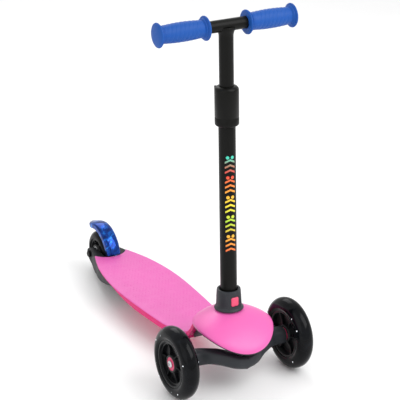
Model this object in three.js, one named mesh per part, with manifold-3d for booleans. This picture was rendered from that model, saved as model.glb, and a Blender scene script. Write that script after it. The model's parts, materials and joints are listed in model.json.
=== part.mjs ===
// Three-wheeled lean-to-steer kick scooter for a small child.
// Millimetres, +Z up, the rider faces -Y. Inside the scooter's own groups the origin is on the
// ground under the front axle; the exported group is moved so that the origin is at the middle
// of the overall length. "left" and "right" are the rider's: left is +X.
import * as THREE from 'three';
import { mergeVertices } from 'three/addons/utils/BufferGeometryUtils.js';
import Module from 'manifold-3d';

const wasm = await Module();
wasm.setup();

// driving dimensions
const gap = 0.3;                       // clearance between pieces that touch
const wheelbase = 490;
const middle = 233.5;                  // middle of the overall length, behind the front axle

const frontWheel = { radius: 60, width: 29, coreRadius: 39.5, hubWidth: 22, offset: 106.4 };
const rearWheel = { radius: 40, width: 24, coreRadius: 26, hubWidth: 24 };
const bearing = { outer: 11, bore: 4.3, width: 7 };
const boltHead = { radius: 6, height: 2.5 };
const axleRadius = 4;

const deck = { top: 52, bottom: 39.5, skin: 3.5, plate: 50, neckHalf: 35 };
// [distance behind the front axle, half width] along the board, nose to tail
const deckOutline = [
  [96, 36], [112, 44], [135, 51.5], [160, 54.5], [200, 58], [240, 60.6], [280, 62.2],
  [320, 61.6], [360, 57.4], [400, 49.8], [430, 40.5], [452, 32.5],
];
const tailArc = { centreY: 468.5, radius: 36 };    // hollow in the board's tail, round the wheel

const shell = {
  radius: 63, rear: 81, top: 123.5, sideRim: 104, frontDrop: 24, rearDrop: 12, skirt: 3, wall: 3,
  crown: 1.2, shoulder: 0.7,            // how soon the dome starts to fall, and how steep its edge is
};

const stem = {
  lean: THREE.MathUtils.degToRad(1.9), y: 17.3, z: 116,        // where the stem axis passes
  foot: -44.5, lowerTop: 371, lowerRadius: 13.5, lowerBore: 12,
  upperFoot: 205, upperRadius: 11.4, upperBore: 9.6, barHeight: 474.6,
};
const socket = { bore: 13.9, outer: 17.6, bottom: -47, flangeBottom: 8.7, top: 42.5 };
const button = { width: 13.3, height: 15.4, z: 25.3, depth: 3, face: -20.8, floor: -15.1 };
const sleeve = { bottom: 317, top: 380, radius: 19.1, shoulder: 7, foot: 3.5 };
const bar = { radius: 9.5, bore: 7.6, half: 112 };
const grip = { inner: 34.5, outer: 120.4, flange: 19.1, neck: 13.2, belly: 15 };

const steer = { tilt: THREE.MathUtils.degToRad(35), y: -14, z: 58, pinRadius: 5 };
const beamHub = { radius: 14, end: 92 };
// [distance from the middle, section centre y, centre z, half depth, half height]
const beamStations = [
  [0, -24, 48, 22, 12.5], [20, -24.5, 54, 20, 13], [38, -17.5, 59.5, 16, 13],
  [56, -11, 63, 14, 12.5], [70, -2, 61, 14, 13.5], [92, 0, 60, 14, 14],
];

const carrier = { top: 49.6, bottom: 18.8, wellHalf: 14.5, wellFront: 434.5, armHalf: 25, bossRadius: 11 };
const fender = {
  crown: 59, edgeDrop: 5, skirt: 4, wall: 3.5, half: 13.7,
  from: THREE.MathUtils.degToRad(166), to: THREE.MathUtils.degToRad(53),
  pinY: 441, pinZ: 44.5, barrel: 4.3, pinRadius: 2,
};
const pad = { radius: 44, half: 8.5, from: THREE.MathUtils.degToRad(122), to: THREE.MathUtils.degToRad(92) };
const lever = { pivotY: 19.6, pivotZ: 367, pinRadius: 2, width: 10, length: 42, earHalf: 8.7, earBack: 23.2 };

// screws through the carrier into the board, and through the steering housing into its neck
const carrierScrews = { front: [26, 348], rear: [20, 412] };
const housingScrew = { x: 17, y: 76, seat: 55, tip: 74 };
const screwShank = 1.6;

const finish = {
  pink: { color: 0xf268c0, roughness: 0.45, metalness: 0 },
  paleInk: { color: 0xff8fd0, roughness: 0.4, metalness: 0 },
  coral: { color: 0xf0607f, roughness: 0.4, metalness: 0 },
  graphite: { color: 0x3d4147, roughness: 0.5, metalness: 0 },
  blackPaint: { color: 0x141414, roughness: 0.35, metalness: 0.3 },
  smokedTyre: { color: 0x16181c, roughness: 0.2, metalness: 0 },
  core: { color: 0x0c0d0f, roughness: 0.4, metalness: 0 },
  rubberBlue: { color: 0x1d5fd0, roughness: 0.55, metalness: 0 },
  candyBlue: { color: 0x1550c8, roughness: 0.15, metalness: 0.5 },
  nylon: { color: 0xe8e6de, roughness: 0.6, metalness: 0 },
  light: { color: 0x1f2124, roughness: 0.2, metalness: 0 },
  steel: { color: 0xc9ccd0, roughness: 0.3, metalness: 1 },
};

// geometry helpers
// A geometry as a solid: shared vertices merged, empty triangles dropped, faces out.
function solid(geometry) {
  const bare = geometry.index ? geometry.clone() : geometry;
  for (const name of Object.keys(bare.attributes)) if (name !== 'position') bare.deleteAttribute(name);
  const merged = mergeVertices(bare, 1e-4);
  const at = merged.attributes.position;
  const corners = merged.index.array;
  const kept = [];
  let volume = 0;
  const [a, b, c] = [new THREE.Vector3(), new THREE.Vector3(), new THREE.Vector3()];
  for (let i = 0; i < corners.length; i += 3) {
    const [i0, i1, i2] = [corners[i], corners[i + 1], corners[i + 2]];
    if (i0 === i1 || i1 === i2 || i2 === i0) continue;
    kept.push(i0, i1, i2);
    a.fromBufferAttribute(at, i0);
    b.fromBufferAttribute(at, i1);
    c.fromBufferAttribute(at, i2);
    volume += a.dot(b.cross(c));
  }
  if (volume < 0) kept.reverse();
  return new wasm.Manifold(new wasm.Mesh({
    numProp: 3,
    vertProperties: new Float32Array(at.array),
    triVerts: new Uint32Array(kept),
  }));
}

function asGeometry(body) {
  const mesh = body.getMesh();
  const geometry = new THREE.BufferGeometry();
  geometry.setAttribute('position', new THREE.BufferAttribute(new Float32Array(mesh.vertProperties), 3));
  geometry.setIndex(new THREE.BufferAttribute(new Uint32Array(mesh.triVerts), 1));
  geometry.computeVertexNormals();
  return geometry;
}

function join(...geometries) {
  return asGeometry(geometries.map(solid).reduce((all, next) => all.add(next)));
}

function cut(geometry, ...cutters) {
  return asGeometry(cutters.map(solid).reduce((left, next) => left.subtract(next), solid(geometry)));
}

function common(first, second) {
  return asGeometry(solid(first).intersect(solid(second)));
}

function moved(geometry, x, y, z) {
  return geometry.translate(x, y, z);
}

// A body of revolution; the profile is [radius, height along the axis], closed on itself or
// on the axis. The axis is 'x', 'y' or 'z'.
function turned(profile, segments, axis = 'x') {
  const points = profile.map(([r, h]) => new THREE.Vector2(r, h));
  const geometry = new THREE.LatheGeometry(points, segments);
  if (axis === 'x') geometry.rotateZ(-Math.PI / 2);
  if (axis === 'z') geometry.rotateX(Math.PI / 2);
  return geometry;
}

// A ring of rectangular section between two radii and two heights.
function ring(inner, outer, from, to, segments = 16, axis = 'x') {
  return turned([[inner, from], [outer, from], [outer, to], [inner, to], [inner, from]], segments, axis);
}

function disc(radius, from, to, segments = 16, axis = 'x') {
  return turned([[0, from], [radius, from], [radius, to], [0, to]], segments, axis);
}

// An outline of [across, up] points drawn in the YZ plane, as thick as 2 x half along X.
function sideCut(outline, half) {
  const shape = new THREE.Shape(outline.map(([y, z]) => new THREE.Vector2(y, z)));
  const geometry = new THREE.ExtrudeGeometry(shape, { depth: 2 * half, bevelEnabled: false });
  geometry.rotateX(Math.PI / 2).rotateZ(Math.PI / 2);
  return moved(geometry, -half, 0, 0);
}

// An outline of [x, y] points, extruded up from one height to another.
function planCut(outline, from, to, bevel = 0) {
  const shape = new THREE.Shape(outline.map(([x, y]) => new THREE.Vector2(x, y)));
  const geometry = new THREE.ExtrudeGeometry(shape, {
    depth: to - from - 2 * bevel, bevelEnabled: bevel > 0, bevelThickness: bevel,
    bevelSize: bevel, bevelOffset: -bevel, bevelSegments: 1,
  });
  return moved(geometry, 0, 0, from + bevel);
}

// A body through closed rings of points, each ring with as many points as the next; its ends
// are closed by flat fans, or it closes on its first ring.
function lofted(rings, closesOnItself = false) {
  const count = rings[0].length;
  const points = rings.flat().flat();
  const index = [];
  const last = closesOnItself ? rings.length : rings.length - 1;
  for (let i = 0; i < last; i++) {
    const near = i * count;
    const far = ((i + 1) % rings.length) * count;
    for (let j = 0; j < count; j++) {
      const k = (j + 1) % count;
      index.push(near + j, near + k, far + k, near + j, far + k, far + j);
    }
  }
  if (!closesOnItself) {
    for (const [ringIndex, turn] of [[0, 1], [rings.length - 1, -1]]) {
      const points3 = rings[ringIndex];
      const centre = [0, 1, 2].map((axis) => points3.reduce((sum, p) => sum + p[axis], 0) / count);
      const hub = points.length / 3;
      points.push(...centre);
      for (let j = 0; j < count; j++) {
        const a = ringIndex * count + j;
        const b = ringIndex * count + ((j + 1) % count);
        index.push(...(turn > 0 ? [b, a, hub] : [a, b, hub]));
      }
    }
  }
  const geometry = new THREE.BufferGeometry();
  geometry.setAttribute('position', new THREE.Float32BufferAttribute(points, 3));
  geometry.setIndex(index);
  return asGeometry(solid(geometry));
}

// A coil spring along Z, its turns touching nothing: a round wire swept along a helix.
function coil(radius, wire, turns, height) {
  const stepsPerTurn = 8;
  class Helix extends THREE.Curve {
    getPoint(t, target = new THREE.Vector3()) {
      const angle = t * turns * 2 * Math.PI;
      return target.set(radius * Math.cos(angle), radius * Math.sin(angle), t * height);
    }
  }
  const section = new THREE.Shape();
  section.absarc(0, 0, wire, 0, 2 * Math.PI);
  return new THREE.ExtrudeGeometry(section, {
    steps: turns * stepsPerTurn, curveSegments: 3, extrudePath: new Helix(),
  });
}

// The value of one column at a key, on a smooth curve through a table of [key, value, ...] rows.
function between(table, key, column) {
  const curve = new THREE.CatmullRomCurve3(
    table.map((row) => new THREE.Vector3(row[0], row[column], 0)), false, 'centripetal');
  let [low, high] = [0, 1];
  for (let i = 0; i < 24; i++) {
    const mid = (low + high) / 2;
    if (curve.getPoint(mid).x < key) low = mid;
    else high = mid;
  }
  return curve.getPoint((low + high) / 2).y;
}

function part(name, geometry, look) {
  const mesh = new THREE.Mesh(asGeometry(solid(geometry)), new THREE.MeshStandardMaterial(finish[look]));
  mesh.name = name;
  return mesh;
}

// What make(side, direction of X) gives for the rider's left, then for the right.
function bothSides(make) {
  return [make('left', 1), make('right', -1)].flat();
}

// the board
// underside of the neck, [behind the front axle, height], from the steering head to the board
const neckThroat = [[52, 96], [64, 83], [78, 64], [90, 49], [100, 42.5], [112, deck.bottom + 0.02]];

function screwPlaces() {
  return Object.values(carrierScrews).flatMap(([x, y]) => [[x, y], [-x, y]]);
}

function neckScrewPlaces() {
  return [[housingScrew.x, housingScrew.y], [-housingScrew.x, housingScrew.y]];
}

function boardPlan(inset, from, to) {
  const steps = 14;
  const side = [];
  for (let i = 0; i <= steps; i++) {
    const y = from + ((to - from) * i) / steps;
    side.push([between(deckOutline, y, 1) - inset, y]);
  }
  return side;
}

function mirrored(side) {
  return [...side, ...side.map(([x, y]) => [-x, y]).reverse()];
}

function board() {
  const [nose, tail] = [deckOutline[0][0], deckOutline.at(-1)[0]];
  const plate = planCut(mirrored(boardPlan(0, nose, tail)), deck.bottom, deck.top, 1.2);
  const tailHollow = disc(tailArc.radius, 30, 60, 48, 'z');
  moved(tailHollow, 0, tailArc.centreY, 0);
  // below the skirt's lower edge, which sweeps up towards the tail
  const sweep = new THREE.QuadraticBezierCurve(
    new THREE.Vector2(200, deck.bottom - 0.01), new THREE.Vector2(258, 39.8), new THREE.Vector2(320, deck.plate));
  const underSweep = [...sweep.getPoints(8).map((p) => [p.x, p.y]), [470, deck.plate], [470, 20], [200, 20]];
  const pocket = planCut(mirrored(boardPlan(deck.skin, 118, 300)), 30, deck.top - deck.skin);
  // the neck, sweeping up from the board to the steering head
  const crest = new THREE.CatmullRomCurve3([
    [124, deck.top - 0.02], [106, deck.top], [95, 54.5], [86, 63], [77, 76], [70, 85], [62, 91],
  ].map(([y, z]) => new THREE.Vector3(y, z, 0))).getPoints(12).map((p) => [p.x, p.y]);
  const neck = sideCut([...crest, ...neckThroat, [124, deck.bottom + 0.02]], deck.neckHalf);
  const upright = (radius, from, to) => ([x, y]) => moved(disc(radius, from, to, 12, 'z'), x, y, 0);
  const posts = screwPlaces().map(upright(4, deck.plate - 4.4, deck.plate + 0.5));
  const bores = [
    ...screwPlaces().map(upright(screwShank + gap, 0, deck.plate + 1.2)),
    ...neckScrewPlaces().map(upright(screwShank + gap, 50, housingScrew.tip + gap)),
  ];
  const moulding = cut(join(plate, neck), tailHollow, sideCut(underSweep, 80), pocket);
  return cut(join(moulding, ...posts), ...bores);
}

// the nose shell
function shellRings() {
  const around = 32;
  const rise = 5;
  const rings = [];
  const section = (inset, drop) => {
    const rows = [];
    for (let s = 0; s <= rise; s++) {
      const out = Math.sin((s / rise) * (Math.PI / 2));
      rows.push([out, 1 - (1 - out ** shell.crown) ** shell.shoulder, inset, drop]);
    }
    return rows;
  };
  const outer = [...section(0, 0), [1, 1, 0, shell.skirt]];
  const inner = [[1, 1, shell.wall, shell.skirt], ...section(shell.wall, shell.wall).reverse()];
  for (const [out, down, inset, drop] of [...outer, ...inner]) {
    const row = [];
    for (let i = 0; i < around; i++) {
      const angle = (i / around) * 2 * Math.PI;
      const [c, s] = [Math.cos(angle), Math.sin(angle)];
      const reach = (s < 0 ? shell.radius : shell.rear) - inset;
      const rimX = (shell.radius - inset) * c;
      const rimY = reach * s;
      const rimZ = shell.sideRim - (s < 0 ? shell.frontDrop : shell.rearDrop) * s * s;
      const hole = socket.outer + 0.8;
      const topX = hole * c;
      const topY = stem.y + hole * s;
      row.push([
        topX + (rimX - topX) * out,
        topY + (rimY - topY) * out,
        shell.top - drop - (shell.top - rimZ) * down,
      ]);
    }
    rings.push(row);
  }
  return rings;
}

function noseShell() {
  return lofted(shellRings(), true);
}

// steering head
function pinAxis() {
  const group = new THREE.Group();
  group.position.set(0, steer.y, steer.z);
  group.rotation.x = steer.tilt;
  return group;
}

function aboutPin(geometry) {
  return geometry.rotateX(steer.tilt).translate(0, steer.y, steer.z);
}

function alongStem(geometry) {
  return geometry.rotateX(-stem.lean).translate(0, stem.y, stem.z);
}

function hexNut(bore, outer, from, to, axis) {
  return cut(disc(outer, from, to, 6, axis), disc(bore + gap, from - 1, to + 1, 20, axis));
}

const housingBoss = { bottom: 14.5, top: 33, radius: 12 };

function steeringHousing() {
  const underNeck = neckThroat.slice(0, 4).map(([y, z]) => [y - 0.5, z - 0.5]);
  const outline = [
    [86, 45.5], [61, 60], [46, 72], [6, 72], [6, 84], [-16, 92], [-10, 103], [4, 110], [45, 110], ...underNeck,
  ];
  const body = sideCut(outline, 26);
  const screwHoles = neckScrewPlaces().flatMap(([x, y]) => [
    moved(disc(screwShank + gap, 40, 80, 12, 'z'), x, y, 0),
    moved(disc(screwShank + 2.4, 30, housingScrew.seat, 16, 'z'), x, y, 0),
  ]);
  const boss = aboutPin(disc(housingBoss.radius, housingBoss.bottom, housingBoss.top, 24, 'z'));
  const web = sideCut([[4, 76], [6, 95], [-26, 96], [-30, 84], [-18, 76]], 8);
  const pinBore = aboutPin(disc(steer.pinRadius + gap, 0, 60, 24, 'z'));
  const nutRoom = aboutPin(disc(13, housingBoss.top, 70, 24, 'z'));
  const stemBore = alongStem(disc(socket.outer + gap, socket.bottom - gap, 60, 28, 'z'));
  return cut(join(body, boss, web), pinBore, nutRoom, stemBore, ...screwHoles);
}

function headPieces() {
  const axis = pinAxis();
  axis.add(
    part('kingpin', turned([
      [0, -19], [7.5, -19], [9, -17.5], [9, beamBoss.bottom - gap], [steer.pinRadius, beamBoss.bottom - gap],
      [steer.pinRadius, 42], [0, 42],
    ], 24, 'z'), 'steel'),
    part('kingpin_nut', hexNut(steer.pinRadius, 8.6, housingBoss.top + gap, housingBoss.top + 7.5, 'z'), 'steel'),
    part('steering_spring', moved(coil(8.6, 1.2, 3, 8.4), 0, 0, 4.4), 'steel'),
    part('thrust_washer', ring(5.3, 10, 2.35, 2.85, 24, 'z'), 'steel'),
  );
  return axis;
}

function stemCollar() {
  const profile = [
    [0, socket.bottom], [socket.outer, socket.bottom], [socket.outer, socket.flangeBottom],
    [24, socket.flangeBottom], [24, 10.5], [22.2, 11.8], [21, 14], [20.6, 18], [20.2, 30], [19.5, 41],
    [18.8, socket.top], [16.6, socket.top], [15.4, 41.2], [15, 38], [socket.bore, 37],
    [socket.bore, stem.foot - gap], [0, stem.foot - gap],
  ];
  const tube = turned(profile, 24, 'z');
  const recess = new THREE.BoxGeometry(button.width + 0.8, 14, button.height + 0.8);
  return cut(tube, moved(recess, 0, button.floor - 7, button.z));
}

function releaseButton() {
  const [w, h, r] = [button.width / 2, button.height / 2, 3.2];
  const face = new THREE.Shape();
  face.absarc(w - r, h - r, r, 0, Math.PI / 2);
  face.absarc(r - w, h - r, r, Math.PI / 2, Math.PI);
  face.absarc(r - w, r - h, r, Math.PI, 1.5 * Math.PI);
  face.absarc(w - r, r - h, r, 1.5 * Math.PI, 2 * Math.PI);
  const block = new THREE.ExtrudeGeometry(face, {
    depth: button.depth - 1.6, bevelEnabled: true, bevelThickness: 0.8, bevelSize: 0.8,
    bevelOffset: -0.8, bevelSegments: 1, curveSegments: 3,
  });
  block.rotateX(Math.PI / 2);
  moved(block, 0, button.face + button.depth - 0.8, button.z);
  return cut(block, moved(disc(3.2, button.face + 1, 0, 16, 'y'), 0, 0, button.z));
}

function buttonSpring() {
  const length = 1;
  return moved(coil(1.9, 0.35, 1, length).rotateX(Math.PI / 2), 0, button.floor - 0.7, button.z);
}

// front beam
function beamSection(x) {
  const [y, z, depth, height] = [1, 2, 3, 4].map((column) => between(beamStations, Math.abs(x), column));
  const points = [];
  const count = 14;
  for (let i = 0; i < count; i++) {
    const angle = (i / count) * 2 * Math.PI;
    const [c, s] = [Math.cos(angle), Math.sin(angle)];
    const square = (v) => Math.sign(v) * Math.abs(v) ** 0.85;
    points.push([x, y + depth * square(c), z + height * square(s)]);
  }
  return points;
}

const beamBoss = { bottom: -14, top: 2, radius: 14 };

function frontBeam() {
  const stations = 9;
  const rings = [];
  for (let i = -stations; i <= stations; i++) rings.push(beamSection((i / stations) * beamHub.end));
  const boss = aboutPin(disc(beamBoss.radius, beamBoss.bottom, beamBoss.top, 24, 'z'));
  const overPin = aboutPin(disc(17, beamBoss.top, 40, 24, 'z'));
  const underPin = aboutPin(disc(11, -40, beamBoss.bottom, 24, 'z'));
  const bore = aboutPin(disc(7.3, -30, 30, 16, 'z'));
  const axles = bothSides((side, way) => [
    moved(disc(axleRadius + gap, 64, 100), way < 0 ? -164 : 0, 0, frontWheel.radius)]);
  return cut(join(lofted(rings), boss), overPin, underPin, bore, ...axles);
}

function beamPieces() {
  const axis = pinAxis();
  axis.add(
    part('beam_bush_upper', turned([
      [5.3, -5.8], [7, -5.8], [7, 2], [5.3, 2], [5.3, -5.8]], 24, 'z'), 'nylon'),
    part('beam_bush_lower', turned([
      [5.3, -14], [7, -14], [7, -6.2], [5.3, -6.2], [5.3, -14]], 24, 'z'), 'nylon'),
  );
  const hardware = bothSides((side, way) => {
    const face = frontWheel.offset + frontWheel.hubWidth / 2 + gap;
    const crown = face + boltHead.height;
    const bolt = turned([
      [0, 66], [axleRadius, 66], [axleRadius, face], [boltHead.radius, face],
      [boltHead.radius, crown - 1], [4.6, crown], [0, crown],
    ], 20);
    const washer = ring(axleRadius + gap, 7.4, beamHub.end + gap, face - frontWheel.hubWidth - 2 * gap);
    return [
      part(`front_axle_bolt_${side}`, bolt, 'steel'),
      part(`front_axle_washer_${side}`, washer, 'steel'),
    ].map((mesh) => {
      mesh.position.z = frontWheel.radius;
      if (way < 0) mesh.rotation.y = Math.PI;
      return mesh;
    });
  });
  return [part('front_beam', frontBeam(), 'graphite'), axis, ...hardware];
}

// wheels
function tyre(wheel) {
  const crown = wheel.width / 2;
  const inner = wheel.coreRadius + gap;
  const profile = [[inner, -crown + 1.6], [wheel.radius - crown - 1, -crown]];
  const steps = 6;
  for (let i = 0; i <= steps; i++) {
    const angle = (i / steps - 0.5) * Math.PI;
    profile.push([wheel.radius - crown + crown * Math.cos(angle), crown * Math.sin(angle)]);
  }
  profile.push([wheel.radius - crown - 1, crown], [inner, crown - 1.6], profile[0]);
  return turned(profile, 28);
}

function wheelCore(wheel) {
  const [rim, hub] = [wheel.coreRadius, 15];
  const rimHalf = wheel.width / 2 - 2;
  const hubHalf = wheel.hubWidth / 2;
  const seat = bearing.outer + gap;
  const body = turned([
    [seat, -hubHalf], [hub, -hubHalf], [hub, -2], [rim - 3.5, -2], [rim - 3.5, -rimHalf], [rim, -rimHalf],
    [rim, rimHalf], [rim - 3.5, rimHalf], [rim - 3.5, 2], [hub, 2], [hub, hubHalf], [seat, hubHalf],
    [seat, hubHalf - bearing.width - gap], [8, hubHalf - bearing.width - gap],
    [8, bearing.width + gap - hubHalf], [seat, bearing.width + gap - hubHalf], [seat, -hubHalf],
  ], 20);
  const ribs = [];
  const ribCount = 6;
  for (let i = 0; i < ribCount; i++) {
    const rib = new THREE.BoxGeometry(2 * rimHalf - 10, 2.4, rim - hub - 0.5);
    rib.translate(0, 0, (rim + hub) / 2 - 1).rotateX(((i + 0.5) / ribCount) * 2 * Math.PI);
    ribs.push(rib);
  }
  return join(body, ...ribs);
}

function lightRing(wheel) {
  // a thin circuit ring on the outer face of the web, inside the rim
  const outer = wheel.coreRadius - 3.5 - gap;
  return ring(outer - 3, outer, 7.6, 9, 20);
}

function wheelPieces(ending, wheel, hubHalf) {
  const group = new THREE.Group();
  group.add(
    part(`tyre_${ending}`, tyre(wheel), 'smokedTyre'),
    part(`wheel_core_${ending}`, wheelCore(wheel), 'core'),
    part(`bearing_${ending}_outer`, ring(bearing.bore, bearing.outer, hubHalf - bearing.width, hubHalf), 'steel'),
    part(`bearing_${ending}_inner`, ring(bearing.bore, bearing.outer, -hubHalf, bearing.width - hubHalf), 'steel'),
    part(`bearing_spacer_${ending}`, ring(bearing.bore, 6.5, bearing.width - hubHalf + gap,
      hubHalf - bearing.width - gap), 'steel'),
  );
  return group;
}

function frontWheels() {
  return bothSides((side, way) => {
    const group = wheelPieces(`front_${side}`, frontWheel, frontWheel.hubWidth / 2);
    group.add(part(`light_ring_${side}`, lightRing(frontWheel), 'light'));
    group.position.set(way * frontWheel.offset, 0, frontWheel.radius);
    if (way < 0) group.rotation.y = Math.PI;
    return [group];
  });
}

function rearWheelGroup() {
  const group = wheelPieces('rear', rearWheel, rearWheel.hubWidth / 2);
  group.position.set(0, wheelbase, rearWheel.radius);
  return group;
}

// rear carrier and brake
function rearCarrier() {
  const [boss, wheelY, wheelZ] = [carrier.bossRadius, wheelbase, rearWheel.radius];
  const side = boardPlan(0.8, 323, 440);
  const plan = mirrored([...side, [33.5, 452], [27, 474], [carrier.armHalf, 483], [carrier.armHalf, 505]]);
  const height = planCut(plan, 0, 80);
  const profile = [[322, carrier.top], [336, 45], [352, 40], [372, 34.5], [395, 29], [420, 23.5], [446, 19.6],
    [464, carrier.bottom], [478, 20.6], [488, 25]];
  const arc = 9;
  for (let i = 0; i <= arc; i++) {
    const angle = THREE.MathUtils.degToRad(-50 + (140 * i) / arc);
    profile.push([wheelY + boss * Math.cos(angle), wheelZ + boss * Math.sin(angle)]);
  }
  profile.push([472, carrier.top]);
  const well = planCut([[-carrier.wellHalf, carrier.wellFront], [carrier.wellHalf, carrier.wellFront],
    [carrier.wellHalf, 520], [-carrier.wellHalf, 520]], 0, 80);
  const underside = planCut(mirrored(boardPlan(4.5, 340, carrier.wellFront - 8)), 0, carrier.top - 4);
  const axleHole = moved(disc(axleRadius + gap, -40, 40), 0, wheelY, wheelZ);
  const postHoles = screwPlaces().map(([x, y]) => moved(disc(4.4, 0, 60, 16, 'z'), x, y, 0));
  const pinHole = moved(disc(fender.pinRadius + gap, -20.4, 20.4, 16), 0, fender.pinY, fender.pinZ);
  return cut(common(height, sideCut(profile, 80)), well, underside, axleHole, pinHole, ...postHoles);
}

// A strip that follows the wheel: its section is [x, distance from the wheel's centre].
function wheelArc(section, from, to, steps) {
  const rings = [];
  for (let i = 0; i <= steps; i++) {
    const angle = from + ((to - from) * i) / steps;
    const kick = i > steps - 2 ? (i - steps + 2) * 1.3 : 0;
    rings.push(section.map(([x, r]) => [x, (r + kick) * Math.cos(angle), (r + kick) * Math.sin(angle)]));
  }
  return lofted(rings);
}

function crownSection(crown, half, wall, skirt) {
  const across = 6;
  const outer = [];
  for (let i = 0; i <= across; i++) {
    const x = half * (2 * (i / across) - 1);
    outer.push([x, crown - fender.edgeDrop * (x / fender.half) ** 2]);
  }
  const inner = outer.map(([x, r]) => [x * (1 - wall / half), r - wall]).reverse();
  const skirts = (sign) => [[sign * half, crown - fender.edgeDrop - wall - skirt],
    [sign * (half - wall * 0.7), crown - fender.edgeDrop - wall - skirt]];
  return [...outer, ...skirts(1), ...inner, ...skirts(-1).reverse()];
}

function brakeFender() {
  const skin = wheelArc(crownSection(fender.crown, fender.half, fender.wall, fender.skirt),
    fender.from, fender.to, 12);
  moved(skin, 0, wheelbase, rearWheel.radius);
  const barrel = moved(disc(fender.barrel, -fender.half, fender.half, 20), 0, fender.pinY, fender.pinZ);
  const lug = sideCut([[436.9, 45], [436.6, 53.5], [442, 54], [445.2, 45]], fender.half);
  const bore = moved(disc(fender.pinRadius + gap, -20, 20, 16), 0, fender.pinY, fender.pinZ);
  const springSlot = moved(disc(6, -3.5, 3.5, 20), 0, fender.pinY, fender.pinZ);
  return cut(join(skin, barrel, lug), bore, springSlot);
}

function brakePad() {
  const across = 6;
  const section = [[-pad.half, pad.radius], [pad.half, pad.radius]];
  for (let i = 0; i <= across; i++) {
    const x = pad.half * (1 - 2 * (i / across));
    section.push([x, fender.crown - fender.wall - gap - fender.edgeDrop * (x / (fender.half - fender.wall)) ** 2]);
  }
  const body = [];
  const steps = 6;
  for (let i = 0; i <= steps; i++) {
    const angle = pad.from + ((pad.to - pad.from) * i) / steps;
    body.push(section.map(([x, r]) => [x, r * Math.cos(angle), r * Math.sin(angle)]));
  }
  return moved(lofted(body), 0, wheelbase, rearWheel.radius);
}

function rearHardware() {
  const arm = carrier.armHalf;
  const bolt = moved(turned([
    [0, -arm - 4], [5, -arm - 4], [6.5, -arm - 2.8], [6.5, -arm - gap], [axleRadius, -arm - gap],
    [axleRadius, arm + 7], [0, arm + 7],
  ], 20), 0, wheelbase, rearWheel.radius);
  const nut = moved(hexNut(axleRadius, 7.4, arm + gap, arm + 6, 'x'), 0, wheelbase, rearWheel.radius);
  const washers = bothSides((side, way) => {
    const inner = rearWheel.hubWidth / 2 + gap;
    const [a, b] = way > 0 ? [inner, carrier.wellHalf - gap] : [gap - carrier.wellHalf, -inner];
    const washer = moved(ring(axleRadius + gap, 7, a, b), 0, wheelbase, rearWheel.radius);
    const screws = Object.entries(carrierScrews).map(([end, [x, y]]) => part(
      `carrier_screw_${end}_${side}`, moved(screw(screwShank, 5.5), way * x, y, carrier.top - 4 - gap), 'steel'));
    const neckScrew = moved(screw(screwShank, housingScrew.tip - housingScrew.seat), way * housingScrew.x,
      housingScrew.y, housingScrew.seat - gap);
    return [part(`rear_axle_washer_${side}`, washer, 'steel'), ...screws,
      part(`housing_screw_${side}`, neckScrew, 'steel')];
  });
  const pin = moved(disc(fender.pinRadius, -20, 20, 16), 0, fender.pinY, fender.pinZ);
  const spring = coil(3.6, 0.7, 3, 4.8).rotateY(Math.PI / 2);
  return [
    part('rear_axle_bolt', bolt, 'blackPaint'),
    part('rear_axle_nut', nut, 'blackPaint'),
    ...washers,
    part('fender_pin', pin, 'steel'),
    part('fender_spring', moved(spring, -2.4, fender.pinY, fender.pinZ), 'steel'),
  ];
}

// Pan-head screw, head down, its shank upwards from z = 0.
function screw(shank, length) {
  return turned([
    [0, -2.2], [shank + 1, -2.2], [shank + 2, -1.2], [shank + 2, 0], [shank, 0], [shank, length], [0, length],
  ], 10, 'z');
}

// stem
function stemPieces() {
  const lowerTube = ring(stem.lowerBore, stem.lowerRadius, stem.foot, stem.lowerTop, 24, 'z');
  const catchHole = moved(disc(3.2, -20, -8, 16, 'y'), 0, 0, button.z);
  const [bottom, top, wide] = [sleeve.bottom, sleeve.top, sleeve.radius];
  const bodyProfile = [[0, bottom]];
  for (const [centreR, centreZ, r, from] of [
    [wide - sleeve.foot, bottom + sleeve.foot, sleeve.foot, -90],
    [wide - sleeve.shoulder, top - sleeve.shoulder, sleeve.shoulder, 0],
  ]) {
    for (let i = 0; i <= 4; i++) {
      const angle = THREE.MathUtils.degToRad(from + (90 * i) / 4);
      bodyProfile.push([centreR + r * Math.cos(angle), centreZ + r * Math.sin(angle)]);
    }
  }
  bodyProfile.push([0, top]);
  const barrel = turned(bodyProfile, 24, 'z');
  const earFront = 8;
  const ears = new THREE.BoxGeometry(2 * lever.earHalf, lever.earBack - earFront, 20);
  moved(ears, 0, (lever.earBack + earFront) / 2, lever.pivotZ - 1);
  const tubeRoom = disc(stem.lowerRadius + gap, bottom - 5, 376.2, 24, 'z');
  const throat = disc(stem.upperRadius + gap, bottom - 5, top + 5, 24, 'z');
  const leverSlot = moved(new THREE.BoxGeometry(lever.width + 0.8, 30, 75), 0, lever.pivotY + 9.7, 345);
  const pinHole = moved(disc(lever.pinRadius + gap, -13, 13, 16), 0, lever.pivotY, lever.pivotZ);
  const clampSleeve = cut(join(barrel, ears), tubeRoom, throat, leverSlot, pinHole);
  return [
    part('lower_tube', cut(lowerTube, catchHole), 'blackPaint'),
    part('clamp_sleeve', clampSleeve, 'blackPaint'),
    part('slide_bush', ring(stem.upperRadius + gap, 13.4, stem.lowerTop + gap, 375.9, 24, 'z'), 'nylon'),
    part('lever_pin', moved(disc(lever.pinRadius, -lever.earHalf, lever.earHalf, 16), 0, lever.pivotY,
      lever.pivotZ), 'steel'),
  ];
}

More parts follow.
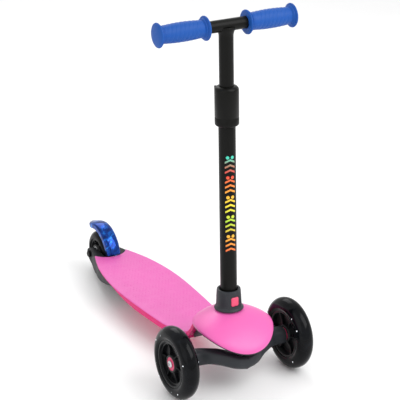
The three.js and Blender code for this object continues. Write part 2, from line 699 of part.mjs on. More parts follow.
function clampLever() {
  const [y, z] = [lever.pivotY, lever.pivotZ];
  const half = lever.width / 2;
  const blade = sideCut([
    [y - 3.8, z + 1], [y - 2, z + 4], [y + 2, z + 4.6], [y + 4.4, z + 2], [y + 4.8, z - 12], [y + 4.4, z - 30],
    [y + 7, z - lever.length], [y + 2.6, z - lever.length - 0.6], [y, z - 30], [y + 0.3, z - 8], [y - 3.2, z - 3],
  ], half);
  const bore = moved(disc(lever.pinRadius + gap, -20, 20, 16), 0, y, z);
  return cut(blade, bore);
}

function gripSleeve() {
  const profile = [[0, grip.outer], [11, grip.outer], [17.4, grip.outer - 1], [grip.flange, grip.outer - 2.4],
    [18.6, grip.outer - 4.6], [15.4, grip.outer - 6]];
  const steps = 4;
  const [from, to] = [grip.outer - 7.5, grip.inner + 5];
  for (let i = 0; i <= steps; i++) {
    const t = i / steps;
    profile.push([grip.neck + (grip.belly - grip.neck) * Math.sin(Math.PI * t), from + (to - from) * t]);
  }
  const bore = bar.radius + gap;
  profile.push([16.5, grip.inner + 3.8], [grip.flange, grip.inner + 2.6], [grip.flange, grip.inner + 1],
    [17.4, grip.inner], [bore, grip.inner], [bore, bar.half + gap], [0, bar.half + gap]);
  return turned(profile, 20);
}

function upperPieces() {
  const post = disc(stem.upperRadius, stem.upperFoot, stem.barHeight, 24, 'z');
  const crossbar = moved(disc(bar.radius, -bar.half, bar.half, 24), 0, 0, stem.barHeight);
  const fillet = moved(turned([
    [0, 0], [stem.upperRadius - 0.1, 0], [stem.upperRadius + 1.4, 5.5], [stem.upperRadius + 2.6, 8], [0, 8],
  ], 24, 'z'), 0, 0, stem.barHeight - 15);
  const postBore = disc(stem.upperBore, stem.upperFoot - 5, stem.barHeight, 24, 'z');
  const barBore = moved(disc(bar.bore, -bar.half - 5, bar.half + 5, 24), 0, 0, stem.barHeight);
  const handles = bothSides((side, way) => {
    const handle = part(`grip_${side}`, gripSleeve(), 'rubberBlue');
    handle.position.z = stem.barHeight;
    if (way < 0) handle.rotation.y = Math.PI;
    return [handle];
  });
  return [
    part('tee_bar', cut(join(post, crossbar, fillet), postBore, barBore), 'blackPaint'),
    part('tube_guide', turned([
      [6, stem.upperFoot - 9], [11.6, stem.upperFoot - 9], [11.6, stem.upperFoot - gap],
      [6, stem.upperFoot - gap], [6, stem.upperFoot - 9]], 24, 'z'), 'nylon'),
    ...handles,
  ];
}

// assembly
const scooter = new THREE.Group();
scooter.position.y = -middle;

scooter.add(
  part('deck_board', board(), 'pink'),
  part('nose_shell', noseShell(), 'paleInk'),
  part('steering_housing', steeringHousing(), 'graphite'),
  part('rear_carrier', rearCarrier(), 'graphite'),
  headPieces(),
  ...beamPieces(),
  ...frontWheels(),
  rearWheelGroup(),
  part('brake_fender', brakeFender(), 'candyBlue'),
  part('brake_pad', brakePad(), 'core'),
  ...rearHardware(),
);

const stemGroup = new THREE.Group();
stemGroup.position.set(0, stem.y, stem.z);
stemGroup.rotation.x = -stem.lean;
stemGroup.add(
  part('stem_collar', stemCollar(), 'graphite'),
  part('release_button', releaseButton(), 'coral'),
  part('button_spring', buttonSpring(), 'steel'),
  ...stemPieces(),
  part('clamp_lever', clampLever(), 'graphite'),
  ...upperPieces(),
);
scooter.add(stemGroup);

const group = new THREE.Group();
group.name = 'kick_scooter';
group.add(scooter);

export default group;
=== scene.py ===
# A child's kick scooter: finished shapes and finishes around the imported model. Metres, +Z up, it rides to -Y.
import json
import math

import bpy
from mathutils import Matrix, Vector


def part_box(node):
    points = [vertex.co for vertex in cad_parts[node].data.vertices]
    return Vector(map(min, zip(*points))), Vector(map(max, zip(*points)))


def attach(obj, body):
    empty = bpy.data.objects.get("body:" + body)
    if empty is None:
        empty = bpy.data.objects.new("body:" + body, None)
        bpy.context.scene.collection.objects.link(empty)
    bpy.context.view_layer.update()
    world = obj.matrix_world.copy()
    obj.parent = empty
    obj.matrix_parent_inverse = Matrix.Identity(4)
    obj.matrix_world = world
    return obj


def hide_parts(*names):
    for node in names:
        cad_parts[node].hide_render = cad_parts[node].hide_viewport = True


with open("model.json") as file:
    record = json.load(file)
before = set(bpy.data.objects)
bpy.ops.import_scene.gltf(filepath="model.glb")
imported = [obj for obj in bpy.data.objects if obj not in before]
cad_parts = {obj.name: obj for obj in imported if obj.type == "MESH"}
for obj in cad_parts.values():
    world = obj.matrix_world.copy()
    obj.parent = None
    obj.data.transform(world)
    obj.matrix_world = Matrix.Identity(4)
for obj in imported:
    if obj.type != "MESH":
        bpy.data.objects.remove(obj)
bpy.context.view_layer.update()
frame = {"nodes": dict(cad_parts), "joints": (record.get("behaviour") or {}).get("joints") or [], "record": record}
nodes = frame["nodes"]
joints = {joint["name"]: joint for joint in frame["joints"]}
mm = 0.001


# places, worked out from the model
def middleOf(node):
    low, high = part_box(node)
    return (low + high) / 2


barCentre = (middleOf("grip_left") + middleOf("grip_right")) / 2
stemAxis = Vector(joints["handlebar_height"]["axis"]).normalized()
stemLean = math.atan2(stemAxis.y, stemAxis.z)
barHeight = 474.6 * mm  # of the bar's centre, up the stem from the stem's own origin
stemPlace = Matrix.Translation(barCentre - stemAxis * barHeight) @ Matrix.Rotation(-stemLean, 4, "X")
steerAxis = Vector(joints["lean_steer"]["axis"]).normalized()
steerPoint = Vector(joints["lean_steer"]["pos_m"])
steerTilt = math.atan2(-steerAxis.y, steerAxis.z)
steerPlace = Matrix.Translation(steerPoint) @ Matrix.Rotation(steerTilt, 4, "X")
frontAxle = (middleOf("tyre_front_left") + middleOf("tyre_front_right")) / 2
groundUnderAxle = Matrix.Translation(Vector((0, frontAxle.y, 0)))
rearAxle = middleOf("tyre_rear")


# mesh helpers
def meshObject(name, vertices, faces, smoothAngle=35):
    mesh = bpy.data.meshes.new(name)
    mesh.from_pydata([tuple(v) for v in vertices], [], faces)
    mesh.validate()
    mesh.polygons.foreach_set("use_smooth", [True] * len(mesh.polygons))
    mesh.set_sharp_from_angle(angle=math.radians(smoothAngle))
    piece = bpy.data.objects.new(name, mesh)
    bpy.context.scene.collection.objects.link(piece)
    return piece


def placed(piece, place):
    piece.data.transform(place)
    if place.determinant() < 0:
        piece.data.flip_normals()
    return piece


def rounded(points, radius, steps=4, closed=True):
    # each corner of an outline becomes a short curve
    count = len(points)
    out = []
    for i in range(count):
        here = Vector(points[i])
        if not closed and i in (0, count - 1):
            out.append(tuple(here))
            continue
        before, after = Vector(points[i - 1]), Vector(points[(i + 1) % count])
        start = here + (before - here).normalized() * min(radius, (before - here).length * 0.45)
        end = here + (after - here).normalized() * min(radius, (after - here).length * 0.45)
        for step in range(steps + 1):
            t = step / steps
            out.append(tuple(start * (1 - t) ** 2 + here * 2 * t * (1 - t) + end * t * t))
    return out


def facesOut(name, vertices, faces, smoothAngle=35):
    # a closed body, turned the right way by its volume
    volume = 0.0
    for face in faces:
        a = Vector(vertices[face[0]])
        for k in range(1, len(face) - 1):
            volume += a.dot(Vector(vertices[face[k]]).cross(Vector(vertices[face[k + 1]])))
    if volume < 0:
        faces = [face[::-1] for face in faces]
    return meshObject(name, vertices, faces, smoothAngle)


def turned(name, profile, segments=96, axis="X", shape=None, smoothAngle=35):
    # profile is [radius, height]; it starts and ends on the axis, or closes on itself
    onAxis = profile[0][0] < 1e-7 and profile[-1][0] < 1e-7
    inner = profile[1:-1] if onAxis else profile
    vertices, faces = [], []
    for r, h in inner:
        for k in range(segments):
            angle = 2 * math.pi * k / segments
            reach = shape(r, h, angle) if shape else r
            a, b = reach * math.cos(angle), reach * math.sin(angle)
            vertices.append({"X": (h, a, b), "Y": (a, h, b), "Z": (a, b, h)}[axis])
    rows = len(inner)
    for i in range(rows - 1 if onAxis else rows):
        near, far = i * segments, ((i + 1) % rows) * segments
        for k in range(segments):
            n = (k + 1) % segments
            faces.append((near + k, near + n, far + n, far + k))
    if onAxis:
        ends = ((0, profile[0][1], True), ((rows - 1) * segments, profile[-1][1], False))
        for ringStart, height, flip in ends:
            hub = len(vertices)
            vertices.append({"X": (height, 0, 0), "Y": (0, height, 0), "Z": (0, 0, height)}[axis])
            for k in range(segments):
                pair = (ringStart + k, ringStart + (k + 1) % segments)
                faces.append((pair[1], pair[0], hub) if flip else (pair[0], pair[1], hub))
    return facesOut(name, vertices, faces, smoothAngle)


def inMm(points):
    return [(a * mm, b * mm) for a, b in points]


def rod(name, radius, low, high, segments=64, axis="X"):
    return turned(name, [(0, low), (radius, low), (radius, high), (0, high)], segments, axis)


def lofted(name, rings, closed=False, smoothAngle=35):
    count = len(rings[0])
    vertices = [point for ring in rings for point in ring]
    faces = []
    for i in range(len(rings) if closed else len(rings) - 1):
        near, far = i * count, ((i + 1) % len(rings)) * count
        for j in range(count):
            k = (j + 1) % count
            faces.append((near + j, near + k, far + k, far + j))
    if not closed:
        faces.append(tuple(range(count))[::-1])
        faces.append(tuple((len(rings) - 1) * count + j for j in range(count)))
    return facesOut(name, vertices, faces, smoothAngle)



def blockObject(name, size, centre):
    corners = [(sx * size[0] / 2, sy * size[1] / 2) for sx, sy in ((1, 1), (-1, 1), (-1, -1), (1, -1))]
    rings = [[(centre[0] + x, centre[1] + y, centre[2] + z * size[2] / 2) for x, y in corners]
             for z in (-1, 1)]
    return lofted(name, rings)


def baked(piece, smoothAngle=35):
    # its modifiers made real
    bpy.context.view_layer.update()
    evaluated = piece.evaluated_get(bpy.context.evaluated_depsgraph_get())
    mesh = bpy.data.meshes.new_from_object(evaluated)
    piece.modifiers.clear()
    piece.data = mesh
    mesh.polygons.foreach_set("use_smooth", [True] * len(mesh.polygons))
    mesh.set_sharp_from_angle(angle=math.radians(smoothAngle))
    return piece


def combine(piece, cutters, operation="DIFFERENCE", bevel=0.0):
    for cutter in cutters:
        boolean = piece.modifiers.new("boolean", "BOOLEAN")
        boolean.operation = operation
        boolean.solver = "EXACT"
        boolean.object = cutter
    if bevel:
        edge = piece.modifiers.new("edges", "BEVEL")
        edge.width = bevel
        edge.segments = 2
        edge.limit_method = "ANGLE"
        edge.angle_limit = math.radians(40)
    baked(piece)
    for cutter in cutters:
        bpy.data.objects.remove(cutter)
    return piece


def softened(node, name, bevel):
    # a copy of a node's mesh, its loose triangles merged and its edges rounded
    piece = bpy.data.objects.new(name, nodes[node].data.copy())
    bpy.context.scene.collection.objects.link(piece)
    weld = piece.modifiers.new("weld", "WELD")
    weld.merge_threshold = 1e-5
    dissolve = piece.modifiers.new("flat", "DECIMATE")
    dissolve.decimate_type = "DISSOLVE"
    dissolve.angle_limit = math.radians(1)
    baked(piece)
    edge = piece.modifiers.new("edges", "BEVEL")
    edge.width = bevel
    edge.segments = 3
    edge.limit_method = "ANGLE"
    edge.angle_limit = math.radians(32)
    edge.use_clamp_overlap = True
    piece.data.materials.clear()
    return baked(piece)


def smoothAt(table, key, column):
    # a smooth value between the rows of a table
    rows = len(table)
    i = max(k for k in range(rows - 1) if k == 0 or table[k][0] <= key)
    x0, x1 = table[i][0], table[i + 1][0]
    t = min(1.0, max(0.0, (key - x0) / (x1 - x0)))

    def slope(k):
        low, high = max(k - 1, 0), min(k + 1, rows - 1)
        return (table[high][column] - table[low][column]) / (table[high][0] - table[low][0])

    a, b, span = table[i][column], table[i + 1][column], x1 - x0
    return ((2 * t**3 - 3 * t * t + 1) * a + (t**3 - 2 * t * t + t) * span * slope(i)
            + (3 * t * t - 2 * t**3) * b + (t**3 - t * t) * span * slope(i + 1))


# one Geometry Nodes tree sets a stamp on every point, turned by the point's own attribute
def stampTree():
    tree = bpy.data.node_groups.new("stampOnPoints", "GeometryNodeTree")
    face = tree.interface
    face.new_socket("Geometry", in_out="INPUT", socket_type="NodeSocketGeometry")
    face.new_socket("Stamp", in_out="INPUT", socket_type="NodeSocketObject")
    face.new_socket("Size", in_out="INPUT", socket_type="NodeSocketFloat").default_value = 1.0
    face.new_socket("Size spread", in_out="INPUT", socket_type="NodeSocketFloat").default_value = 0.0
    face.new_socket("Seed", in_out="INPUT", socket_type="NodeSocketInt").default_value = 3
    face.new_socket("Finish", in_out="INPUT", socket_type="NodeSocketMaterial")
    face.new_socket("Geometry", in_out="OUTPUT", socket_type="NodeSocketGeometry")
    make, link = tree.nodes.new, tree.links.new
    source, result = make("NodeGroupInput"), make("NodeGroupOutput")
    stamp = make("GeometryNodeObjectInfo")
    turn = make("GeometryNodeInputNamedAttribute")
    turn.data_type = "FLOAT_VECTOR"
    turn.inputs["Name"].default_value = "turn"
    toTurn = make("FunctionNodeEulerToRotation")
    low, high = make("ShaderNodeMath"), make("ShaderNodeMath")
    low.operation, high.operation = "SUBTRACT", "ADD"
    spread = make("FunctionNodeRandomValue")
    spread.data_type = "FLOAT"
    place = make("GeometryNodeInstanceOnPoints")
    real, paint = make("GeometryNodeRealizeInstances"), make("GeometryNodeSetMaterial")
    link(source.outputs["Stamp"], stamp.inputs["Object"])
    for node in (low, high):
        link(source.outputs["Size"], node.inputs[0])
        link(source.outputs["Size spread"], node.inputs[1])
    link(low.outputs[0], spread.inputs[2])
    link(high.outputs[0], spread.inputs[3])
    link(source.outputs["Seed"], spread.inputs["Seed"])
    link(source.outputs["Geometry"], place.inputs["Points"])
    link(stamp.outputs["Geometry"], place.inputs["Instance"])
    link(turn.outputs["Attribute"], toTurn.inputs[0])
    link(toTurn.outputs[0], place.inputs["Rotation"])
    link(spread.outputs[1], place.inputs["Scale"])
    link(place.outputs["Instances"], real.inputs["Geometry"])
    link(real.outputs["Geometry"], paint.inputs["Geometry"])
    link(source.outputs["Finish"], paint.inputs["Material"])
    link(paint.outputs["Geometry"], result.inputs["Geometry"])
    return tree


stampOnPoints = stampTree()


def repeated(name, stamp, matrices, finish, spread=0.0, seed=3, smoothAngle=35):
    mesh = bpy.data.meshes.new(name)
    mesh.from_pydata([tuple(m.translation) for m in matrices], [], [])
    turn = mesh.attributes.new("turn", "FLOAT_VECTOR", "POINT")
    turn.data.foreach_set("vector", [a for m in matrices for a in m.to_euler("XYZ")])
    piece = bpy.data.objects.new(name, mesh)
    bpy.context.scene.collection.objects.link(piece)
    modifier = piece.modifiers.new("stamps", "NODES")
    modifier.node_group = stampOnPoints
    values = {"Stamp": stamp, "Size": 1.0, "Size spread": spread, "Seed": seed, "Finish": finish}
    for socket in stampOnPoints.interface.items_tree:
        if socket.in_out == "INPUT" and socket.name in values:
            modifier[socket.identifier] = values[socket.name]
    baked(piece, smoothAngle)
    bpy.data.objects.remove(stamp)
    return piece


# finishes
def newMaterial(name, colour, roughness, **sockets):
    material = bpy.data.materials.new(name)
    material.use_nodes = True
    tree = material.node_tree
    shader = tree.nodes["Principled BSDF"]
    shader.inputs["Base Color"].default_value = (*colour, 1)
    shader.inputs["Roughness"].default_value = roughness
    for socket, value in sockets.items():
        shader.inputs[socket.replace("_", " ")].default_value = value
    place = tree.nodes.new("ShaderNodeTexCoord")
    return material, tree, shader, place.outputs["Object"]


def noise(tree, where, scale, detail=3.0, stretch=None, distortion=0.0):
    if stretch:
        mapping = tree.nodes.new("ShaderNodeMapping")
        mapping.inputs["Scale"].default_value = stretch
        tree.links.new(where, mapping.inputs["Vector"])
        where = mapping.outputs["Vector"]
    texture = tree.nodes.new("ShaderNodeTexNoise")
    texture.inputs["Scale"].default_value = scale
    texture.inputs["Detail"].default_value = detail
    texture.inputs["Distortion"].default_value = distortion
    tree.links.new(where, texture.inputs["Vector"])
    return texture.outputs["Fac"]


def ramp(tree, value, stops):
    node = tree.nodes.new("ShaderNodeValToRGB")
    colours = node.color_ramp.elements
    while len(colours) < len(stops):
        colours.new(0.5)
    for element, (at, colour) in zip(colours, stops):
        element.position = at
        element.color = (*colour, 1)
    tree.links.new(value, node.inputs["Fac"])
    return node.outputs["Color"]


def spanned(tree, value, low, high, fromLow=0.3, fromHigh=0.7):
    node = tree.nodes.new("ShaderNodeMapRange")
    for socket, number in zip(("From Min", "From Max", "To Min", "To Max"), (fromLow, fromHigh, low, high)):
        node.inputs[socket].default_value = number
    tree.links.new(value, node.inputs["Value"])
    return node.outputs["Result"]


def bumped(tree, shader, height, strength, distance=0.0002):
    node = tree.nodes.new("ShaderNodeBump")
    node.inputs["Strength"].default_value = strength
    node.inputs["Distance"].default_value = distance
    tree.links.new(height, node.inputs["Height"])
    tree.links.new(node.outputs["Normal"], shader.inputs["Normal"])


def shade(colour, factor):
    return tuple(min(1.0, c * factor) for c in colour)


def moulded(name, colour, roughness, variation=0.06, grain=2600, grainDepth=0.25, clouds=14, **sockets):
    # moulded plastic or rubber: soft clouds of colour, fine grain and uneven gloss
    material, tree, shader, where = newMaterial(name, colour, roughness, **sockets)
    cloud = noise(tree, where, clouds, 4)
    tint = ramp(tree, cloud, [(0.3, shade(colour, 1 - variation)), (0.7, shade(colour, 1 + variation))])
    tree.links.new(tint, shader.inputs["Base Color"])
    gloss = spanned(tree, noise(tree, where, clouds * 5, 3), roughness * 0.88, roughness * 1.14)
    tree.links.new(gloss, shader.inputs["Roughness"])
    bumped(tree, shader, noise(tree, where, grain, 2), grainDepth)
    return material


finish = {
    "pinkTop": ((0.69, 0.108, 0.405), 0.46),
    "pinkShell": ((0.77, 0.120, 0.415), 0.36),
    # the board's own pink darkened: painted shade for the board's sides and underside
    "paintedShadePink": ((0.70, 0.008, 0.16), 0.42),
    "graphite": ((0.022, 0.025, 0.030), 0.46),
    # the graphite plastic darkened as painted shade for the rear carrier
    "carrier": ((0.010, 0.011, 0.013), 0.48),
    "coral": ((0.75, 0.07, 0.16), 0.40),
    "blackPaint": ((0.0045, 0.0045, 0.0040), 0.36),
    "core": ((0.004, 0.0045, 0.0055), 0.34),
    "tyre": ((0.003, 0.0035, 0.0045), 0.20),
    "rubberBlue": ((0.008, 0.080, 0.36), 0.50),
    "candyBlue": ((0.004, 0.045, 0.30), 0.16),
    "nylon": ((0.78, 0.76, 0.70), 0.5),
    "seal": ((0.62, 0.035, 0.13), 0.35),
    "steel": ((0.62, 0.63, 0.65), 0.28),
}


def mouldedFinish(key, **settings):
    colour, roughness = finish[key]
    return moulded(key, colour, roughness, **settings)


pinkTop = mouldedFinish("pinkTop", variation=0.03, grain=1500, grainDepth=0.3)
pinkShell = mouldedFinish("pinkShell", variation=0.025, grain=3200, grainDepth=0.12)
# a darker copy of the board's pink, painted shade for the board's sides and underside
paintedShadePink = mouldedFinish("paintedShadePink", variation=0.05, grain=2600, grainDepth=0.2, Specular_IOR_Level=0.3)
# the rear carrier's graphite plastic, darkened as painted shade
carrierShadedGraphite = mouldedFinish("carrier", variation=0.12, grain=1900, grainDepth=0.45, Specular_IOR_Level=0.2)
graphite = mouldedFinish("graphite", variation=0.10, grain=1900, grainDepth=0.45, Specular_IOR_Level=0.32)
coral = mouldedFinish("coral", variation=0.04)
nylon = mouldedFinish("nylon", variation=0.03)
seal = mouldedFinish("seal", variation=0.08, grain=900, grainDepth=0.2)
coreBlack = mouldedFinish("core", variation=0.15, grain=2200, grainDepth=0.25, Specular_IOR_Level=0.25)
rubberBlue = mouldedFinish("rubberBlue", variation=0.07, grain=1700, grainDepth=0.4, Specular_IOR_Level=0.25)


def powderCoat():
    colour, roughness = finish["blackPaint"]
    material, tree, shader, where = newMaterial("blackPaint", colour, roughness, Specular_IOR_Level=0.13)
    speck = noise(tree, where, 1800, 2)
    tree.links.new(ramp(tree, speck, [(0.35, shade(colour, 0.7)), (0.7, shade(colour, 1.6))]),
                   shader.inputs["Base Color"])
    tree.links.new(spanned(tree, noise(tree, where, 60), roughness * 0.9, roughness * 1.15),
                   shader.inputs["Roughness"])
    bumped(tree, shader, noise(tree, where, 900, 2), 0.18, 0.0001)
    return material


def smokedTyre():
    # glossy smoked polyurethane, with paler swirls of depth in it
    colour, roughness = finish["tyre"]
    material, tree, shader, where = newMaterial("smokedTyre", colour, roughness, Specular_IOR_Level=0.07,
                                                Coat_Weight=0.10, Coat_Roughness=0.03)
    swirl = noise(tree, where, 34, 5, distortion=1.4)
    tint = ramp(tree, swirl, [(0.42, shade(colour, 0.7)), (0.60, shade(colour, 1.3)),
                              (0.74, shade(colour, 2.6))])
    tree.links.new(tint, shader.inputs["Base Color"])
    tree.links.new(spanned(tree, noise(tree, where, 90), 0.12, 0.22), shader.inputs["Roughness"])
    bumped(tree, shader, noise(tree, where, 240, 3), 0.10, 0.0002)
    return material


def candyPearl():
    colour, roughness = finish["candyBlue"]
    material, tree, shader, where = newMaterial(
        "candyBlue", colour, roughness, Metallic=0.9, Coat_Weight=0.2, Coat_Roughness=0.05)
    # the noise draws the blue pearl mottle of the paint; the two palest stops of the ramp are painted highlights
    pearlAndSheen = noise(tree, where, 46, 5, distortion=2.2)
    tint = ramp(tree, pearlAndSheen, [(0.36, shade(colour, 0.5)), (0.50, colour), (0.62, (0.010, 0.15, 0.60)),
                             (0.76, (0.08, 0.45, 0.90))])
    tree.links.new(tint, shader.inputs["Base Color"])
    tree.links.new(spanned(tree, noise(tree, where, 120), 0.1, 0.24), shader.inputs["Roughness"])
    bumped(tree, shader, noise(tree, where, 130, 3, distortion=1.0), 0.22, 0.0003)
    return material


def brushedSteel():
    colour, roughness = finish["steel"]
    material, tree, shader, where = newMaterial("steel", colour, roughness, Metallic=1.0)
    grain = noise(tree, where, 700, 3, stretch=(6, 1, 1))
    tree.links.new(ramp(tree, grain, [(0.3, shade(colour, 0.86)), (0.7, shade(colour, 1.08))]),
                   shader.inputs["Base Color"])
    tree.links.new(spanned(tree, grain, 0.2, 0.36), shader.inputs["Roughness"])
    return material


def lampWhiteWithPaintedGlint():
    # white studs for the LEDs in the wheel; their faint emission is a painted highlight for the sparkles in the
    # wheels
    material, tree, shader, where = newMaterial(
        "lampWhiteWithPaintedGlint", (0.85, 0.88, 0.92), 0.12, Coat_Weight=0.5, Emission_Strength=0.6)
    shader.inputs["Emission Color"].default_value = (0.9, 0.95, 1.0, 1)
    glow = ramp(tree, noise(tree, where, 500), [(0.3, (0.72, 0.76, 0.82)), (0.7, (0.95, 0.97, 1.0))])
    tree.links.new(glow, shader.inputs["Base Color"])
    return material


def rainbowInk(low, high):
    # printed marks, their colour running up the tube
    material, tree, shader, where = newMaterial("rainbowInk", (0.9, 0.4, 0.1), 0.4)
    split = tree.nodes.new("ShaderNodeSeparateXYZ")
    tree.links.new(where, split.inputs["Vector"])
    height = spanned(tree, split.outputs["Z"], 0.0, 1.0, low, high)
    colours = [(0.0, (0.90, 0.16, 0.03)), (0.14, (0.95, 0.42, 0.03)), (0.32, (0.45, 0.72, 0.04)),
               (0.50, (0.95, 0.72, 0.03)), (0.66, (0.93, 0.30, 0.03)), (0.82, (0.78, 0.03, 0.03)),
               (0.92, (0.35, 0.20, 0.12)), (1.0, (0.05, 0.62, 0.45))]
    tint = ramp(tree, height, colours)
    tree.links.new(tint, shader.inputs["Base Color"])
    bumped(tree, shader, noise(tree, where, 900), 0.1, 0.0001)
    return material


blackPaint = powderCoat()
tyreGloss = smokedTyre()
candyBlue = candyPearl()
steel = brushedSteel()
lampGlintFinish = lampWhiteWithPaintedGlint()
print("finishes made")

nodeFinish = {"steel": steel, "nylon": nylon, "light_plastic": coreBlack, "black_core": coreBlack,
              "graphite_plastic": graphite,
              "pink_plastic": pinkTop, "light_pink_plastic": pinkShell, "coral_plastic": coral,
              "black_paint": blackPaint, "smoked_tyre": tyreGloss, "blue_rubber": rubberBlue,
              "candy_blue": candyBlue}
for entry in frame["record"]["subparts"]:
    node = nodes[entry["node"]]
    node.data.materials.clear()
    node.data.materials.append(nodeFinish[entry["material_slot"]])


def finished(piece, material, body, slot, *replaced):
    if material:
        piece.data.materials.clear()
        piece.data.materials.append(material)
    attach(piece, body)
    if replaced:
        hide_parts(*replaced)
    return piece


# the board: rounded edges, its sides and underside in a darker copy of its pink as painted shade, with a faint
# field of raised studs
board = {"edge": 0.9 * mm, "studPitch": 6.4 * mm, "studRadius": 1.35 * mm, "studHeight": 0.42 * mm,
         "fieldFrom": 0.150, "fieldTo": 0.425, "margin": 9 * mm}


def boardHalfWidth(y):
    # half the board's width at a distance behind the front axle
    widths = [(96, 36), (112, 44), (135, 51.5), (160, 54.5), (200, 58), (240, 60.6), (280, 62.2), (320, 61.6),
              (360, 57.4), (400, 49.8), (430, 40.5), (452, 32.5)]
    return smoothAt(widths, y / mm, 1) * mm


def makeBoard():
    piece = softened("deck_board", "board", board["edge"])
    piece.data.materials.append(pinkTop)
    piece.data.materials.append(paintedShadePink)
    for face in piece.data.polygons:
        # the upper side takes the pale pink, and the sides and the underside a darker copy of the same pink as
        # painted shade
        up, across = face.normal.z, abs(face.normal.x)
        face.material_index = 0 if up > 0.42 or (up > 0.05 and across < 0.3) else 1
    finished(piece, None, "deck", "pink_plastic", "deck_board")


def makeStuds():
    radius, height, pitch = board["studRadius"], board["studHeight"], board["studPitch"]
    root = -0.1 * mm
    stud = turned("stud", [(0, root), (radius, root), (radius * 0.8, height * 0.7), (0, height)], 10, "Z")
    places = []
    row = 0
    y = board["fieldFrom"]
    while y < board["fieldTo"]:
        reach = boardHalfWidth(y) - board["margin"]
        x = -math.floor(reach / pitch) * pitch + (pitch / 2 if row % 2 else 0)
        while x <= reach:
            # a fan: rings of studs round the tail are left out to draw pale arcs
            ringAt = math.hypot(x, y - 0.480) / (4.0 * pitch)
            if ringAt % 1.0 > 0.28:
                places.append(Matrix.Translation(Vector((x, frontAxle.y + y, deckTop))))
            x += pitch
        y += pitch * math.sqrt(3) / 2
        row += 1
    studs = repeated("boardStuds", stud, places, pinkTop, spread=0.15)
    finished(studs, None, "deck", "pink_plastic")


deckTop = 52 * mm
makeBoard()
makeStuds()

# the nose shell: a broad dome round the stem, its front edge dropping
nose = {"radius": 63 * mm, "rear": 81 * mm, "top": 123.5 * mm, "sideRim": 104 * mm, "frontDrop": 24 * mm,
        "rearDrop": 12 * mm, "crown": 1.2, "shoulder": 0.7, "stemY": 17.3 * mm,
        "skirt": 3 * mm, "wall": 3 * mm, "hole": 18.6 * mm, "around": 128, "rise": 26}


def noseRing(out, down, inset, drop):
    ring = []
    for k in range(nose["around"]):
        angle = 2 * math.pi * k / nose["around"]
        c, s = math.cos(angle), math.sin(angle)
        rimX = (nose["radius"] - inset) * c
        rimY = ((nose["radius"] if s < 0 else nose["rear"]) - inset) * s
        rimZ = nose["sideRim"] - (nose["frontDrop"] if s < 0 else nose["rearDrop"]) * s * s
        holeX, holeY = nose["hole"] * c, nose["stemY"] + nose["hole"] * s
        ring.append((holeX + (rimX - holeX) * out, holeY + (rimY - holeY) * out,
                     nose["top"] - drop - (nose["top"] - rimZ) * down))
    return ring


def makeNose():
    outs = [math.sin(s / nose["rise"] * math.pi / 2) for s in range(nose["rise"] + 1)]
    rows = [(out, 1 - (1 - min(out, 1.0) ** nose["crown"]) ** nose["shoulder"], 0, 0) for out in outs]
    lip = [(1, 1, 0, nose["skirt"] * 0.8), (1, 1, nose["wall"] * 0.25, nose["skirt"]),
           (1, 1, nose["wall"] * 0.8, nose["skirt"])]
    inner = [(out, down, nose["wall"], nose["wall"]) for out, down, _, _ in rows][::-1]
    rings = [noseRing(*row) for row in rows + lip + inner]
    piece = placed(lofted("noseShell", rings, closed=True), groundUnderAxle)
    finished(piece, pinkShell, "deck", "light_pink_plastic", "nose_shell")


def makeShellRimBand():
    # a dark graphite band set just under the shell's rim
    section = [(0.7, 2.6), (0.7, 4.4), (1.0, 4.8), (2.0, 4.8), (2.3, 4.4), (2.3, 2.6)]
    rings = [noseRing(1, 1, inset * mm, drop * mm) for inset, drop in section]
    piece = placed(lofted("shellLiner", rings, closed=True), groundUnderAxle)
    finished(piece, graphite, "deck", "graphite_plastic")


makeNose()
makeShellRimBand()
print("board and nose made")

# the socket that holds the stem, and its button
socket = {"bore": 13.9, "outer": 17.6, "bottom": -47, "flange": 24, "flangeBottom": 8.7, "top": 42.5}
button = {"width": 13.3, "height": 15.4, "z": 25.3, "face": -20.8, "depth": 3.0, "corner": 3.0}


def roundedRectangle(width, height, corner, steps=8):
    points = []
    for cx, cz, start in ((1, 1, 0), (-1, 1, 90), (-1, -1, 180), (1, -1, 270)):
        for k in range(steps + 1):
            angle = math.radians(start + 90 * k / steps)
            points.append((cx * (width / 2 - corner) + corner * math.cos(angle),
                           cz * (height / 2 - corner) + corner * math.sin(angle)))
    return points


def slab(name, width, height, corner, stations):
    # rounded rectangles stacked along Y, each [y, inset]
    rings = []
    for y, inset in stations:
        outline = roundedRectangle(width - 2 * inset, height - 2 * inset, max(corner - inset, 0.4))
        rings.append([(x * mm, y * mm, z * mm) for x, z in outline])
    return lofted(name, rings)


def makeSocket():
    foot = -44.8
    profile = [(0, socket["bottom"]), (socket["outer"], socket["bottom"]),
               (socket["outer"], socket["flangeBottom"]), (socket["flange"], socket["flangeBottom"]),
               (24, 10.4), (22.2, 11.8), (21.1, 14), (20.6, 18), (20.2, 30), (19.6, 39), (19.0, socket["top"]), (15.6, socket["top"]), (14.6, 40.5),
               (socket["bore"], 38),
               (socket["bore"], foot), (0, foot)]
    piece = turned("stemSocket", rounded(inMm(profile), 0.9 * mm, 3, closed=False), 96, "Z")
    recess = slab("recess", button["width"] + 0.8, button["height"] + 0.8, button["corner"] + 0.4,
                  [(-30, 0), (-15.1, 0)])
    placed(recess, Matrix.Translation(Vector((0, 0, button["z"] * mm))))
    combine(piece, [recess], bevel=0.35 * mm)
    placed(piece, stemPlace)
    finished(piece, graphite, "deck", "graphite_plastic", "stem_collar")


